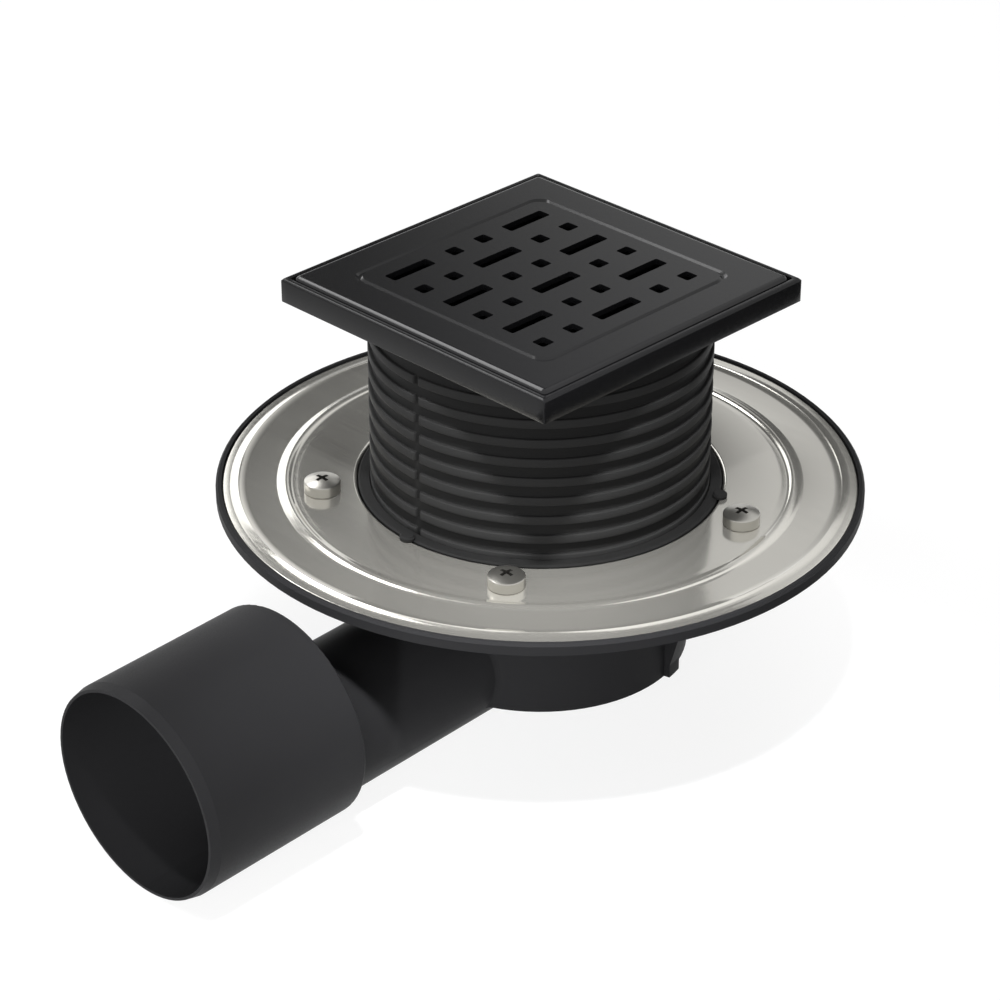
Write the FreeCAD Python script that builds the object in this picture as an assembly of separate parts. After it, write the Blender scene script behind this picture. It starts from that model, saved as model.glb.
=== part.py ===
"""Height-adjustable shower drain with a square grate, a clamp collar and a side outlet.

Millimetres, +Z up. The origin is on the drain's upright axis, level with the top of the
flange's rim. The outlet leaves towards -Y and falls a little.
"""

import FreeCAD, Part
import math
import os

# Square frame at the top of the neck, and the grate in it
frame_side = 122.0
frame_height = 8.3
frame_wall = 2.3
frame_floor = 2.5
frame_corner_radius = 0.8
frame_edge_chamfer = 0.7
frame_lift = 64.9  # underside of the frame above the flange's rim

grate_gap = 0.6
grate_proud = 0.9  # how far the grate stands above the frame
grate_sheet = 2.0
grate_edge_radius = 1.9
grate_corner_radius = 2.1

panel_side = 88.0  # the pressed line around the holes
panel_corner_radius = 5.0
panel_line_width = 1.8
panel_line_floor = 0.5
panel_line_depth = 0.7

hole_pitch = 13.6
hole_width = 5.2
hole_corner_radius = 0.8
hole_columns = 6
hole_rows = 3  # rows of cells, each cell a slot or a pair of square holes

# Ribbed neck
neck_diameter = 115.8
neck_wall = 2.3
neck_insert = 15.9  # length below the flange's rim
rib_pitch = 7.08
rib_land = 3.1
rib_depth = 1.2
rib_count = 11
seam_gap = 2.9  # break in the ribs at the mould's parting line

neck_travel_down = 7.0
neck_travel_room = 0.5

# Rubber ring round the neck
running_gap = 0.3
seal_wall = 3.9
seal_height = 8.4
seal_lip_height = 2.2
seal_relief = 1.2
seal_edge_bevel = 0.6
ear_width = 5.4
ear_reach = 2.9
ear_height = 1.4
ear_count = 3

# Stainless clamp collar, from its inner edge outwards
collar_seal_gap = 0.4
collar_sheet = 1.5
collar_lip_depth = 2.4
collar_lip_bevel = 1.2
collar_screw_reach = 12.1
collar_screw_flat = 21.5
collar_bead_width = 6.0
collar_bead_height = 0.55
collar_bead_slope = 2.2
collar_middle_flat = 10.0
collar_edge_flat = 2.1
collar_edge_bevel = 0.4
collar_below_rim = 0.6  # collar's flat top below the flange's rim
collar_fit = 0.4

# Screws
screw_count = 5
screw_diameter = 5.0
screw_length = 16.0
screw_point = 2.5
screw_head_diameter = 12.4
screw_head_side = 3.9
screw_head_height = 5.1
screw_crown_flat = 6.4
screw_hole_room = 0.5
screw_fit = 0.15

# Drain body
body_wall = 3.0
rim_width = 2.0
rim_edge_bevel = 0.8
rim_height = 4.0
rim_band = 3.0
throat_room = 0.7
ledge_width = 9.7
dish_depth = 12.5
dish_margin = 1.1
boss_wall = 3.0
boss_web = 3.0
side_rib_angle = 14.0
side_rib_width = 6.8
side_rib_depth = 2.1  # of its foot, from the bowl's wall
side_rib_foot = 4.9
side_rib_edge_radius = 0.4

# Outlet
outlet_fall = 2.03  # degrees
pipe_diameter = 50.0
pipe_length = 116.7
spigot_diameter = 75.0
spigot_length = 64.7
spigot_wall = 1.9
spigot_shoulder_radius = 1.0
spigot_bevel_length = 3.8
spigot_bevel_depth = 0.9
invert_step = 0.25
junction_radius = 2.0

# Trap insert
trap_flange = 3.5
trap_fit = 0.4
trap_sheet = 2.0
trap_plate_fall = 3.0
dip_bore = 40.0
dip_length = 24.0
cup_side_room = 11.9
cup_rim_drop = 7.0
cup_floor_room = 7.5
cup_corner_bevel = 5.0
tab_count = 3
tab_width = 8.0
tab_hook = 1.0
tab_fit = 0.2
ring_section = 2.4
ring_fit = 0.05

V = FreeCAD.Vector
CENTRE = V(0, 0, 0)
UP = V(0, 0, 1)

# Radii from the neck outwards
neck_radius = neck_diameter / 2
groove_radius = neck_radius - rib_depth
neck_bore = groove_radius - neck_wall
seal_bore = neck_radius + running_gap
seal_radius = seal_bore + seal_wall
collar_bore = seal_radius + collar_seal_gap
screw_circle = collar_bore + collar_screw_reach
inner_bead_start = collar_bore + collar_screw_flat
inner_bead_end = inner_bead_start + collar_bead_width
outer_bead_start = inner_bead_end + collar_middle_flat
outer_bead_end = outer_bead_start + collar_bead_width
collar_radius = outer_bead_end + collar_edge_flat
rim_bore = collar_radius + collar_fit
flange_radius = rim_bore + rim_width
seat_bore = seal_radius + running_gap
lip_bore = collar_bore + collar_sheet + collar_fit
throat_bore = neck_radius + throat_room
throat_radius = throat_bore + body_wall
bowl_bore = throat_bore - ledge_width
bowl_radius = bowl_bore + body_wall
cup_radius = bowl_bore - cup_side_room

# Heights
frame_top = frame_lift + frame_height
frame_ledge = frame_lift + frame_floor
grate_top = frame_top + grate_proud
neck_end = -neck_insert
collar_top = -collar_below_rim
clamp_face = collar_top - collar_sheet
flange_underside = clamp_face - body_wall
collar_lip_end = clamp_face - collar_lip_depth
seal_top = collar_top + running_gap
seal_end = seal_top - seal_height
seat_floor = seal_end - running_gap
trap_top = neck_end - neck_travel_down - neck_travel_room
ledge = trap_top - trap_flange
ledge_underside = ledge - body_wall

# Outlet's places, from its bore just under the ledge where it meets the bowl
fall = math.radians(outlet_fall)
pipe_radius = pipe_diameter / 2
pipe_bore = pipe_radius - body_wall
spigot_radius = spigot_diameter / 2
spigot_bore = spigot_radius - spigot_wall
outlet_axis = ledge_underside - pipe_bore + bowl_bore * math.tan(fall)
outlet_along = V(0, -math.cos(fall), -math.sin(fall))
outlet_up = V(0, -math.sin(fall), math.cos(fall))
outlet_start = V(0, 0, outlet_axis)
spigot_start = (outlet_start + outlet_along * pipe_length
                + outlet_up * (spigot_radius - pipe_radius - invert_step))
dish_bottom = outlet_axis - pipe_radius - dish_margin
bowl_rim = dish_bottom + dish_depth

# Trap's places
dip_radius = dip_bore / 2
dip_end = ledge - trap_plate_fall - dip_length
plate_edge = bowl_bore - trap_fit
cup_rim = ledge - cup_rim_drop
cup_floor = dip_end - cup_floor_room


def mitre(sheet, turn):
    """How far a corner of bent sheet shifts from one face to the other, for a turn in radians."""
    return sheet * math.tan(turn / 2)


# Slope under the collar's bent lip, which the flange's edge follows
lip_mitre = mitre(collar_sheet, math.radians(45))
lip_slope = collar_lip_bevel + lip_mitre - collar_sheet


def turned(start, *steps):
    """Solid turned about the drain's axis from corners (r, z) and arcs ((r, z) between, (r, z) end)."""
    here = V(start[0], 0, start[1])
    edges = []
    for step in steps + (start,):
        if isinstance(step[0], tuple):
            between, end = [V(r, 0, z) for r, z in step]
            edges.append(Part.Arc(here, between, end).toShape())
        else:
            end = V(step[0], 0, step[1])
            edges.append(Part.makeLine(here, end))
        here = end
    return Part.Face(Part.Wire(edges)).revolve(CENTRE, UP, 360)


def ball_cap(edge_r, edge_z, pole_z):
    """Arc step for turned(), on a ball whose centre is on the axis, from an edge to the pole."""
    rise = pole_z - edge_z
    ball = (edge_r ** 2 + rise ** 2) / (2 * rise)
    middle_r = edge_r / 2
    middle_z = pole_z - ball + math.copysign(math.sqrt(ball ** 2 - middle_r ** 2), ball)
    return ((middle_r, middle_z), (0, pole_z))


def rounded_rectangle(length_x, length_y, radius, height, centre=CENTRE):
    """Closed wire, level at a height, with rounded corners."""
    x = length_x / 2
    y = length_y / 2
    half = radius * (1 - math.sqrt(0.5))
    edges = []
    for sx, sy, along_x in ((1, 1, False), (-1, 1, True), (-1, -1, False), (1, -1, True)):
        on_x = V(sx * (x - radius), sy * y, height)
        on_y = V(sx * x, sy * (y - radius), height)
        corner = V(sx * (x - half), sy * (y - half), height)
        first, last = (on_x, on_y) if along_x else (on_y, on_x)
        edges.append(Part.Arc(first, corner, last).toShape())
    sides = []
    for edge, following in zip(edges, edges[1:] + edges[:1]):
        sides.append(edge)
        sides.append(Part.makeLine(edge.Vertexes[1].Point, following.Vertexes[0].Point))
    wire = Part.Wire(sides)
    wire.translate(centre)
    return wire


def block(length_x, length_y, radius, bottom, top, centre=CENTRE):
    """Upright block with rounded corners."""
    face = Part.Face(rounded_rectangle(length_x, length_y, radius, bottom, centre))
    return face.extrude(V(0, 0, top - bottom))


def around(shape, count, first_angle):
    """Copies of a shape made at azimuth 0, spread evenly round the drain's axis."""
    copies = []
    for k in range(count):
        copy = shape.copy()
        copy.rotate(CENTRE, UP, first_angle + 360 * k / count)
        copies.append(copy)
    return copies


def edges_at(shape, height):
    """Edges that lie level at a height."""
    found = []
    for edge in shape.Edges:
        box = edge.BoundBox
        if abs(box.ZMin - height) < 1e-6 and abs(box.ZMax - height) < 1e-6:
            found.append(edge)
    return found


def make_neck():
    """Ribbed tube and square frame, moulded as one piece."""
    steps = []
    for k in range(rib_count):
        land_start = neck_end + k * rib_pitch
        land_end = land_start + rib_land
        steps += [(neck_radius, land_start), (neck_radius, land_end)]
        steps += [(groove_radius, land_end), (groove_radius, land_start + rib_pitch)]
    steps[-1] = (groove_radius, frame_ledge)
    tube = turned((neck_bore, neck_end), *steps, (neck_bore, frame_ledge))
    seam = Part.makeBox(seam_gap, neck_diameter, frame_lift - neck_end,
                        V(-seam_gap / 2, -neck_radius, neck_end))
    seam = seam.cut(Part.makeCylinder(groove_radius, frame_lift - neck_end, V(0, 0, neck_end)))
    tube = tube.cut(seam)
    frame = block(frame_side, frame_side, frame_corner_radius, frame_lift, frame_top)
    frame = frame.makeChamfer(frame_edge_chamfer, edges_at(frame, frame_top))
    recess_side = frame_side - 2 * frame_wall
    frame = frame.cut(block(recess_side, recess_side, frame_corner_radius, frame_ledge, frame_top))
    frame = frame.cut(Part.makeCylinder(neck_bore, frame_height, V(0, 0, frame_lift)))
    return tube.fuse(frame).removeSplitter()


def panel_line():
    """Cutter for the shallow line pressed around the grate's holes."""
    walls = []
    for sign in (1, -1):
        top_side = panel_side + sign * panel_line_width
        floor_side = panel_side + sign * panel_line_floor
        wires = [
            rounded_rectangle(top_side, top_side, panel_corner_radius, grate_top),
            rounded_rectangle(floor_side, floor_side, panel_corner_radius,
                              grate_top - panel_line_depth),
        ]
        walls.append(Part.makeLoft(wires, True, True))
    return walls[0].cut(walls[1])


def make_grate():
    """Pressed plate with turned-down sides and a checkerboard of slots and pairs of holes."""
    side = frame_side - 2 * (frame_wall + grate_gap)
    inside = side - 2 * grate_sheet
    underside = grate_top - grate_sheet
    grate = block(side, side, grate_corner_radius, frame_ledge, grate_top)
    grate = grate.makeFillet(grate_edge_radius, edges_at(grate, grate_top))
    grate = grate.cut(block(inside, inside, grate_corner_radius, frame_ledge, underside))
    cell = 2 * hole_pitch
    holes = []
    for i in range(hole_columns):
        x = (i - (hole_columns - 1) / 2) * hole_pitch
        for j in range(hole_rows):
            y = (j - (hole_rows - 1) / 2) * cell
            if (i + j) % 2 == 0:
                length = hole_pitch + hole_width
                places = [y]
            else:
                length = hole_width
                places = [y - hole_pitch / 2, y + hole_pitch / 2]
            for place in places:
                holes.append(block(hole_width, length, hole_corner_radius, underside, grate_top,
                                   V(x, place, 0)))
    return grate.cut(Part.makeCompound(holes)).cut(panel_line())


def make_neck_seal():
    """Rubber ring with two lips on the neck and three lifting ears over the collar."""
    relief = seal_bore + seal_relief
    ring = turned(
        (seal_bore, seal_end),
        (seal_radius, seal_end),
        (seal_radius, seal_top - seal_edge_bevel),
        (seal_radius - seal_edge_bevel, seal_top),
        (seal_bore, seal_top),
        (seal_bore, seal_top - seal_lip_height),
        (relief, seal_top - seal_lip_height - seal_relief),
        (relief, seal_end + seal_lip_height + seal_relief),
        (seal_bore, seal_end + seal_lip_height),
    )
    middle = (seal_bore + seal_wall / 2 + seal_radius + ear_reach) / 2
    length = seal_radius + ear_reach - seal_bore - seal_wall / 2
    ear = block(length, ear_width, ear_width / 2 - running_gap, seal_top, seal_top + ear_height,
                V(middle, 0, 0))
    ear = ear.makeChamfer(seal_edge_bevel, edges_at(ear, seal_top + ear_height))
    return ring.multiFuse(around(ear, ear_count, -90)).removeSplitter()


def bead(start, base, inset):
    """Corners of a raised bead of the pressed sheet, from its inner foot outwards."""
    end = start + collar_bead_width
    crest = base + collar_bead_height
    return [
        (start + inset, base),
        (start + collar_bead_slope + inset, crest),
        (end - collar_bead_slope - inset, crest),
        (end - inset, base),
    ]


def make_clamp_collar():
    """Pressed ring with a turned-down inner edge, two beads and the screw holes."""
    bead_mitre = mitre(collar_sheet, math.atan2(collar_bead_height, collar_bead_slope))
    top_beads = bead(inner_bead_start, collar_top, 0) + bead(outer_bead_start, collar_top, 0)
    under_beads = (bead(inner_bead_start, clamp_face, bead_mitre)
                   + bead(outer_bead_start, clamp_face, bead_mitre))
    collar = turned(
        (collar_bore, collar_lip_end),
        (collar_bore, collar_top - collar_lip_bevel),
        (collar_bore + collar_lip_bevel, collar_top),
        *top_beads,
        (collar_radius - collar_edge_bevel, collar_top),
        (collar_radius, collar_top - collar_edge_bevel),
        (collar_radius, clamp_face),
        *reversed(under_beads),
        (collar_bore + collar_sheet + lip_slope, clamp_face),
        (collar_bore + collar_sheet, clamp_face - lip_slope),
        (collar_bore + collar_sheet, collar_lip_end),
    )
    hole = Part.makeCylinder((screw_diameter + screw_hole_room) / 2, collar_sheet,
                             V(screw_circle, 0, clamp_face))
    return collar.cut(Part.makeCompound(around(hole, screw_count, 90)))


def make_collar_screws():
    """Pan head screws, turned at the axis and set out on the screw circle."""
    radius = screw_head_diameter / 2
    shank = screw_diameter / 2
    tip = collar_top - screw_length
    screw = turned(
        (0, tip),
        (shank, tip + screw_point),
        (shank, collar_top),
        (radius, collar_top),
        (radius, collar_top + screw_head_side),
        (screw_crown_flat / 2, collar_top + screw_head_height),
        (0, collar_top + screw_head_height),
    )
    screw.translate(V(screw_circle, 0, 0))
    return Part.makeCompound(around(screw, screw_count, 90))


def pipe(start, radius, length):
    """Cylinder along the outlet."""
    return Part.makeCylinder(radius, length, start, outlet_along)


def make_spigot():
    """Large end of the outlet, with a rounded shoulder and an insertion bevel."""
    plain = pipe(spigot_start, spigot_radius, spigot_length - spigot_bevel_length)
    shoulder = [e for e in plain.Edges if e.Closed and (e.CenterOfMass - spigot_start).Length < 1]
    plain = plain.makeFillet(spigot_shoulder_radius, shoulder)
    bevel_start = spigot_start + outlet_along * (spigot_length - spigot_bevel_length)
    bevel = Part.makeCone(spigot_radius, spigot_radius - spigot_bevel_depth, spigot_bevel_length,
                          bevel_start, outlet_along)
    return plain.fuse(bevel)


def make_bowl():
    """Outside of the bowl, throat and flange, solid."""
    seat_radius = lip_bore + body_wall
    seat_underside = seat_floor - body_wall
    return turned(
        (0, 0),
        (flange_radius - rim_edge_bevel, 0),
        (flange_radius, -rim_edge_bevel),
        (flange_radius, -rim_height),
        (flange_radius - rim_band, -rim_height),
        (flange_radius - rim_band, flange_underside),
        (seat_radius, flange_underside),
        (seat_radius, seat_underside),
        (throat_radius, seat_underside - body_wall),
        (throat_radius, ledge_underside),
        (bowl_radius, ledge_underside - body_wall),
        (bowl_radius, bowl_rim),
        ball_cap(bowl_radius, bowl_rim, dish_bottom),
    )


def make_bowl_inside():
    """Space inside the bowl, throat and flange, with a floor of two slopes along the dish."""
    floor_edge = bowl_rim + body_wall
    return turned(
        (0, 0),
        (rim_bore, 0),
        (rim_bore, clamp_face),
        (lip_bore + lip_slope, clamp_face),
        (lip_bore, clamp_face - lip_slope),
        (lip_bore, collar_lip_end - collar_fit),
        (seat_bore, collar_lip_end - collar_fit),
        (seat_bore, seat_floor),
        (throat_bore, seat_floor),
        (throat_bore, ledge),
        (bowl_bore, ledge),
        (bowl_bore, floor_edge),
        *ball_cap(bowl_bore, floor_edge, dish_bottom + body_wall),
    )


def make_junction():
    """Rounded corner where the outlet pipe leaves the bowl's wall."""
    reach = 2 * pipe_diameter
    wall = Part.makeCylinder(bowl_radius, reach, V(0, 0, outlet_axis - reach / 2))
    joined = wall.fuse(pipe(outlet_start, pipe_radius, 2 * bowl_radius))
    corner = []
    for edge in joined.Edges:
        middle = edge.valueAt((edge.FirstParameter + edge.LastParameter) / 2)
        away = middle - outlet_start
        off_axis = (away - outlet_along * away.dot(outlet_along)).Length
        on_wall = abs(math.hypot(middle.x, middle.y) - bowl_radius) < 1e-3
        if on_wall and abs(off_axis - pipe_radius) < 1e-3:
            corner.append(edge)
    joined = joined.makeFillet(junction_radius, corner)
    band_top = ledge_underside - body_wall
    band = Part.makeBox(reach, reach, band_top - bowl_rim, V(-reach / 2, -reach, bowl_rim))
    return joined.common(band)


def make_side_rib(azimuth):
    """Rib up the bowl's side, upright at its foot and then sloping out to the throat."""
    foot = bowl_radius + side_rib_depth
    slope = turned(
        (0, bowl_rim),
        (foot, bowl_rim),
        (foot, bowl_rim + side_rib_foot),
        (throat_radius, ledge_underside),
        (0, ledge_underside),
    )
    rib = block(2 * bowl_radius, side_rib_width, side_rib_edge_radius, bowl_rim, ledge_underside,
                V(bowl_radius, 0, 0)).common(slope)
    rib.rotate(CENTRE, UP, azimuth)
    return rib


def make_drain_body():
    """Flange, throat, bowl and stepped outlet, moulded as one piece."""
    screw_tip = collar_top - screw_length
    boss_radius = screw_diameter / 2 + boss_wall
    boss_end = screw_tip - boss_wall
    boss = Part.makeCylinder(boss_radius, flange_underside - boss_end, V(screw_circle, 0, boss_end))
    web_start = throat_bore + body_wall / 2
    web = Part.makeBox(screw_circle - web_start, boss_web, flange_underside - boss_end,
                       V(web_start, -boss_web / 2, boss_end))
    small_pipe = pipe(outlet_start, pipe_radius, pipe_length + body_wall)
    body = make_bowl()
    side_ribs = [make_side_rib(side_rib_angle), make_side_rib(180 - side_rib_angle)]
    for piece in [small_pipe, make_junction(), make_spigot()] + side_ribs:
        body = body.fuse(piece)
    for piece in around(boss.fuse(web), screw_count, 90):
        body = body.fuse(piece)
    inside = [
        make_bowl_inside(),
        pipe(outlet_start, pipe_bore, pipe_length + 2 * body_wall),
        pipe(spigot_start + outlet_along * body_wall, spigot_bore, spigot_length),
    ]
    pilot = Part.makeCylinder(screw_diameter / 2 + screw_fit, clamp_face - screw_tip + screw_fit,
                              V(screw_circle, 0, screw_tip - screw_fit))
    for space in inside + around(pilot, screw_count, 90):
        body = body.cut(space)
    return body.removeSplitter()


def make_trap_funnel():
    """Funnel plate with a rim groove for the sealing ring and a dip tube."""
    radius = throat_bore - trap_fit
    groove = throat_bore - ring_fit - ring_section - ring_fit
    groove_half = ring_section / 2 + ring_fit
    groove_middle = ledge + trap_flange / 2
    plate_top = ledge + trap_sheet
    dip_outside = dip_radius + trap_sheet
    funnel = turned(
        (dip_radius, dip_end),
        (dip_outside, dip_end),
        (dip_outside, ledge - trap_plate_fall),
        (plate_edge, ledge),
        (radius, ledge),
        (radius, groove_middle - groove_half),
        (groove, groove_middle - groove_half),
        (groove, groove_middle + groove_half),
        (radius, groove_middle + groove_half),
        (radius, trap_top),
        (plate_edge, trap_top),
        (plate_edge, plate_top),
        (dip_radius, plate_top - trap_plate_fall),
    )
    slot = Part.makeBox(trap_sheet + 2 * tab_fit, tab_width + 2 * tab_fit, trap_top - cup_rim,
                        V(cup_radius - trap_sheet - tab_fit, -tab_width / 2 - tab_fit, cup_rim))
    return funnel.cut(Part.makeCompound(around(slot, tab_count, 90)))


def make_trap_seal():
    """Sealing ring in the funnel's rim, with a pointed lip on the throat."""
    lip = throat_bore - ring_fit
    half = ring_section / 2
    middle = ledge + trap_flange / 2
    return turned(
        (lip - ring_section, middle - half),
        (lip - half, middle - half),
        (lip, middle),
        (lip - half, middle + half),
        (lip - ring_section, middle + half),
    )


def make_trap_cup():
    """Water cup with three snap tabs that hang it in the funnel's slots."""
    bore = cup_radius - trap_sheet
    bottom = cup_floor - trap_sheet
    corner_mitre = mitre(trap_sheet, math.radians(45))
    cup = turned(
        (0, bottom),
        (cup_radius - cup_corner_bevel, bottom),
        (cup_radius, bottom + cup_corner_bevel),
        (cup_radius, cup_rim),
        (bore, cup_rim),
        (bore, bottom + cup_corner_bevel + corner_mitre),
        (cup_radius - cup_corner_bevel - corner_mitre, cup_floor),
        (0, cup_floor),
    )
    plate_slope = trap_plate_fall / (plate_edge - dip_radius)
    plate_top = ledge + trap_sheet - plate_slope * (plate_edge - cup_radius)
    tab_end = plate_top + tab_fit + tab_hook
    tab_start = cup_rim - trap_sheet
    tab = Part.makeBox(trap_sheet, tab_width, tab_end - tab_start, V(bore, -tab_width / 2, tab_start))
    hook = Part.makeBox(trap_sheet + tab_hook, tab_width, tab_hook,
                        V(bore, -tab_width / 2, plate_top + tab_fit))
    return cup.multiFuse(around(tab.fuse(hook), tab_count, 90)).removeSplitter()


os.makedirs("parts", exist_ok=True)
make_drain_body().exportStep("parts/drain_body.step")
make_clamp_collar().exportStep("parts/clamp_collar.step")
make_collar_screws().exportStep("parts/collar_screws.step")
make_neck_seal().exportStep("parts/neck_seal.step")
make_neck().exportStep("parts/neck.step")
make_grate().exportStep("parts/grate.step")
make_trap_funnel().exportStep("parts/trap_funnel.step")
make_trap_cup().exportStep("parts/trap_cup.step")
make_trap_seal().exportStep("parts/trap_seal.step")
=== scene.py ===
"""Looks of a height-adjustable shower drain: its finishes, fine forms and a studio stage.

Metres, +Z up. The origin is on the drain's upright axis, level with the flange's rim, and the
outlet leaves towards -Y.
"""

import math

import bmesh
import bpy
from bpy.props import FloatProperty, FloatVectorProperty, IntProperty, PointerProperty
from mathutils import Matrix, Vector


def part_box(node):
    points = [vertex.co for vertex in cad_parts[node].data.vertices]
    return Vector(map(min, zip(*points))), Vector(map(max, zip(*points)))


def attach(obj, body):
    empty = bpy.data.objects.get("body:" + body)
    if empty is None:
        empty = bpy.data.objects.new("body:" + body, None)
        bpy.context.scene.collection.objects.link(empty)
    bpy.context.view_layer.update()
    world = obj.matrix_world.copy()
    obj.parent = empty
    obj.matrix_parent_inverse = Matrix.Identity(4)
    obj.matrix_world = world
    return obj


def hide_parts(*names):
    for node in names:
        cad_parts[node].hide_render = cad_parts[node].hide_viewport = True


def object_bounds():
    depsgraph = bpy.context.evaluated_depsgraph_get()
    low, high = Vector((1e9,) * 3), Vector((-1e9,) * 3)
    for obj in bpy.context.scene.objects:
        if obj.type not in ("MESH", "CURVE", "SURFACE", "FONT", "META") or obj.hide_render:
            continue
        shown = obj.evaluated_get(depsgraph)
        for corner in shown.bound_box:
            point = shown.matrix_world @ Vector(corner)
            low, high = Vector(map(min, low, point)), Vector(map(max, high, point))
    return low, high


bl_info = {
    "name": "Shower Drain",
    "version": (1, 0, 0),
    "blender": (4, 5, 0),
    "location": "View3D > Sidebar > Drain",
    "description": "Dresses a shower drain in its finishes and sets it on a studio stage",
    "category": "Object",
}

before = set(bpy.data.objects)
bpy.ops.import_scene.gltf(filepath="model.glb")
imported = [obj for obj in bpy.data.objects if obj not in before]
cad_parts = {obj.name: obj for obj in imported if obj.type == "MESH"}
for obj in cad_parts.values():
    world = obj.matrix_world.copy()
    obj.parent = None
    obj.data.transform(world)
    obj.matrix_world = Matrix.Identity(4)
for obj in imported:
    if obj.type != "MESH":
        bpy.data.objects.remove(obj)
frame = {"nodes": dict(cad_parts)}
cad_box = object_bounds()

MM = 0.001
AXIS = Vector((0, 0, 1))
ORIGIN = Vector((0, 0, 0))

# Vertices closer than WELD are one, and one within NEAR of a level or a radius lies on it.
WELD = 0.001 * MM
NEAR = 0.01 * MM

# Angle in degrees from which an edge of a steel piece or of the frame is a crease.
CREASE = 35


def linear(hex_colour):
    """Linear red, green and blue, with alpha, from an sRGB hex value."""
    shares = [int(hex_colour[i:i + 2], 16) / 255 for i in (1, 3, 5)]
    rgb = [s / 12.92 if s <= 0.04045 else ((s + 0.055) / 1.055) ** 2.4 for s in shares]
    return (*rgb, 1.0)


WHITE = linear("#ffffff")


def length(title, text, default):
    """Property for a length in metres."""
    return FloatProperty(name=title, description=text, default=default, min=0, unit="LENGTH",
                         precision=5)


def colour(title, text, hex_colour):
    """Property for a colour."""
    return FloatVectorProperty(name=title, description=text, subtype="COLOR", size=4, min=0, max=1,
                               default=linear(hex_colour))


neck_low, neck_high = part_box("neck")
seal_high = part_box("neck_seal")[1]
collar_low, collar_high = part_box("clamp_collar")
screws_low, screws_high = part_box("collar_screws")


class DrainColours(bpy.types.PropertyGroup):
    """Colours of the drain's finishes."""

    body: colour("Body", "Black polypropylene of the body", "#1d1d1e")
    neck: colour("Neck", "Black ABS of the ribbed neck", "#232323")
    frame: colour("Frame", "Polished black ABS of the neck's square frame", "#0b0b0c")
    coat: colour("Coat", "Powder coat of the grate", "#0b0b0c")
    rubber: colour("Rubber", "Rubber of the seals", "#161616")
    trap: colour("Trap", "Polypropylene of the trap insert", "#26272a")
    steel: colour("Steel", "Stainless sheet of the collar", "#cdcbc4")
    screw: colour("Screw", "Cold-headed steel of the screws", "#b0aea8")
    # The recess colour is darker steel: painted shade for the shadow inside the screws' recesses.
    recess: colour("Recess", "Punched steel in the screws' recesses", "#4a4946")


class CollarSizes(bpy.types.PropertyGroup):
    """Sizes of the pressed clamp collar."""

    seal_gap: length("Seal gap", "Room between the rubber ring and the collar", 0.4 * MM)
    sheet: length("Sheet", "Thickness of the sheet", 1.5 * MM)
    below_rim: length("Below rim", "Flat top below the flange's rim", 0.6 * MM)
    lip_bend: length("Lip bend", "Outside radius of the turned-down inner edge", 1.2 * MM)
    inner_flat: length("Inner flat", "From the bore to the dip before the inner wave", 19.7 * MM)
    dip_width: length("Dip width", "Width of the dip", 1.7 * MM)
    dip_depth: length("Dip depth", "Depth of the dip", 0.12 * MM)
    wave_rise: length("Wave rise", "Width of the inner wave's inner flank", 2.7 * MM)
    wave_fall: length("Wave fall", "Width of the inner wave's outer flank", 3.3 * MM)
    middle_flat: length("Middle flat", "Between the inner wave and the outer ridge", 9.9 * MM)
    ridge_flank: length("Ridge flank", "Width of each flank of the outer ridge", 3.0 * MM)
    edge_round: length("Edge round", "Setback of the round at the outer edge", 0.5 * MM)
    steps: IntProperty(name="Steps", description="Steps round the collar", default=240, min=24)


class ScrewSizes(bpy.types.PropertyGroup):
    """Sizes of the collar's pan head screws."""

    count: IntProperty(name="Count", description="Screws round the collar", default=5, min=1)
    circle: length("Circle", "Radius of the screw circle", 74.6 * MM)
    head: length("Head", "Diameter of the head", 12.4 * MM)
    head_side: length("Side", "Height of the head's side", 3.9 * MM)
    head_edge: length("Edge", "Setback of the round between side and dome", 0.3 * MM)
    dome_steps: IntProperty(name="Dome steps", description="Steps up the head's dome", default=8, min=2)
    shank: length("Shank", "Diameter of the shank", 5.0 * MM)
    point: length("Point", "Length of the pointed end", 2.5 * MM)
    recess: length("Recess", "Width of the cross recess", 7.2 * MM)
    recess_arm: length("Recess arm", "Width of an arm of the recess", 1.55 * MM)
    recess_depth: length("Recess depth", "Depth of the recess", 2.2 * MM)
    steps: IntProperty(name="Steps", description="Steps round a screw", default=64, min=12)


class NeckSizes(bpy.types.PropertyGroup):
    """Sizes of the ribbed neck and its square frame."""

    radius: length("Radius", "Outside radius over the ribs", 57.9 * MM)
    rib_depth: length("Rib depth", "Depth of the grooves", 1.2 * MM)
    wall: length("Wall", "Wall under the grooves", 2.3 * MM)
    rib_pitch: length("Rib pitch", "From rib to rib", 7.08 * MM)
    rib_land: length("Rib land", "Height of a rib's flat", 3.1 * MM)
    ribs: IntProperty(name="Ribs", description="Ribs up the neck", default=11, min=1)
    rib_round: length("Rib round", "Setback of the rounds on a rib", 0.45 * MM)
    seam_gap: length("Seam gap", "Break in the ribs at the parting line", 1.5 * MM)
    seam_round: length("Seam round", "Round at the end of a rib", 0.9 * MM)
    frame_height: length("Frame height", "Height of the square frame", 8.3 * MM)
    frame_wall: length("Frame wall", "Wall of the frame", 2.3 * MM)
    frame_floor: length("Frame floor", "Floor of the frame", 2.5 * MM)
    frame_corner: length("Frame corner", "Radius of the frame's upright corners", 0.8 * MM)
    frame_chamfer: length("Frame chamfer", "Chamfer on the frame's top edge", 0.7 * MM)
    edge_round: length("Edge round", "Setback of the rounds on the frame's edges", 0.18 * MM)


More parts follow.
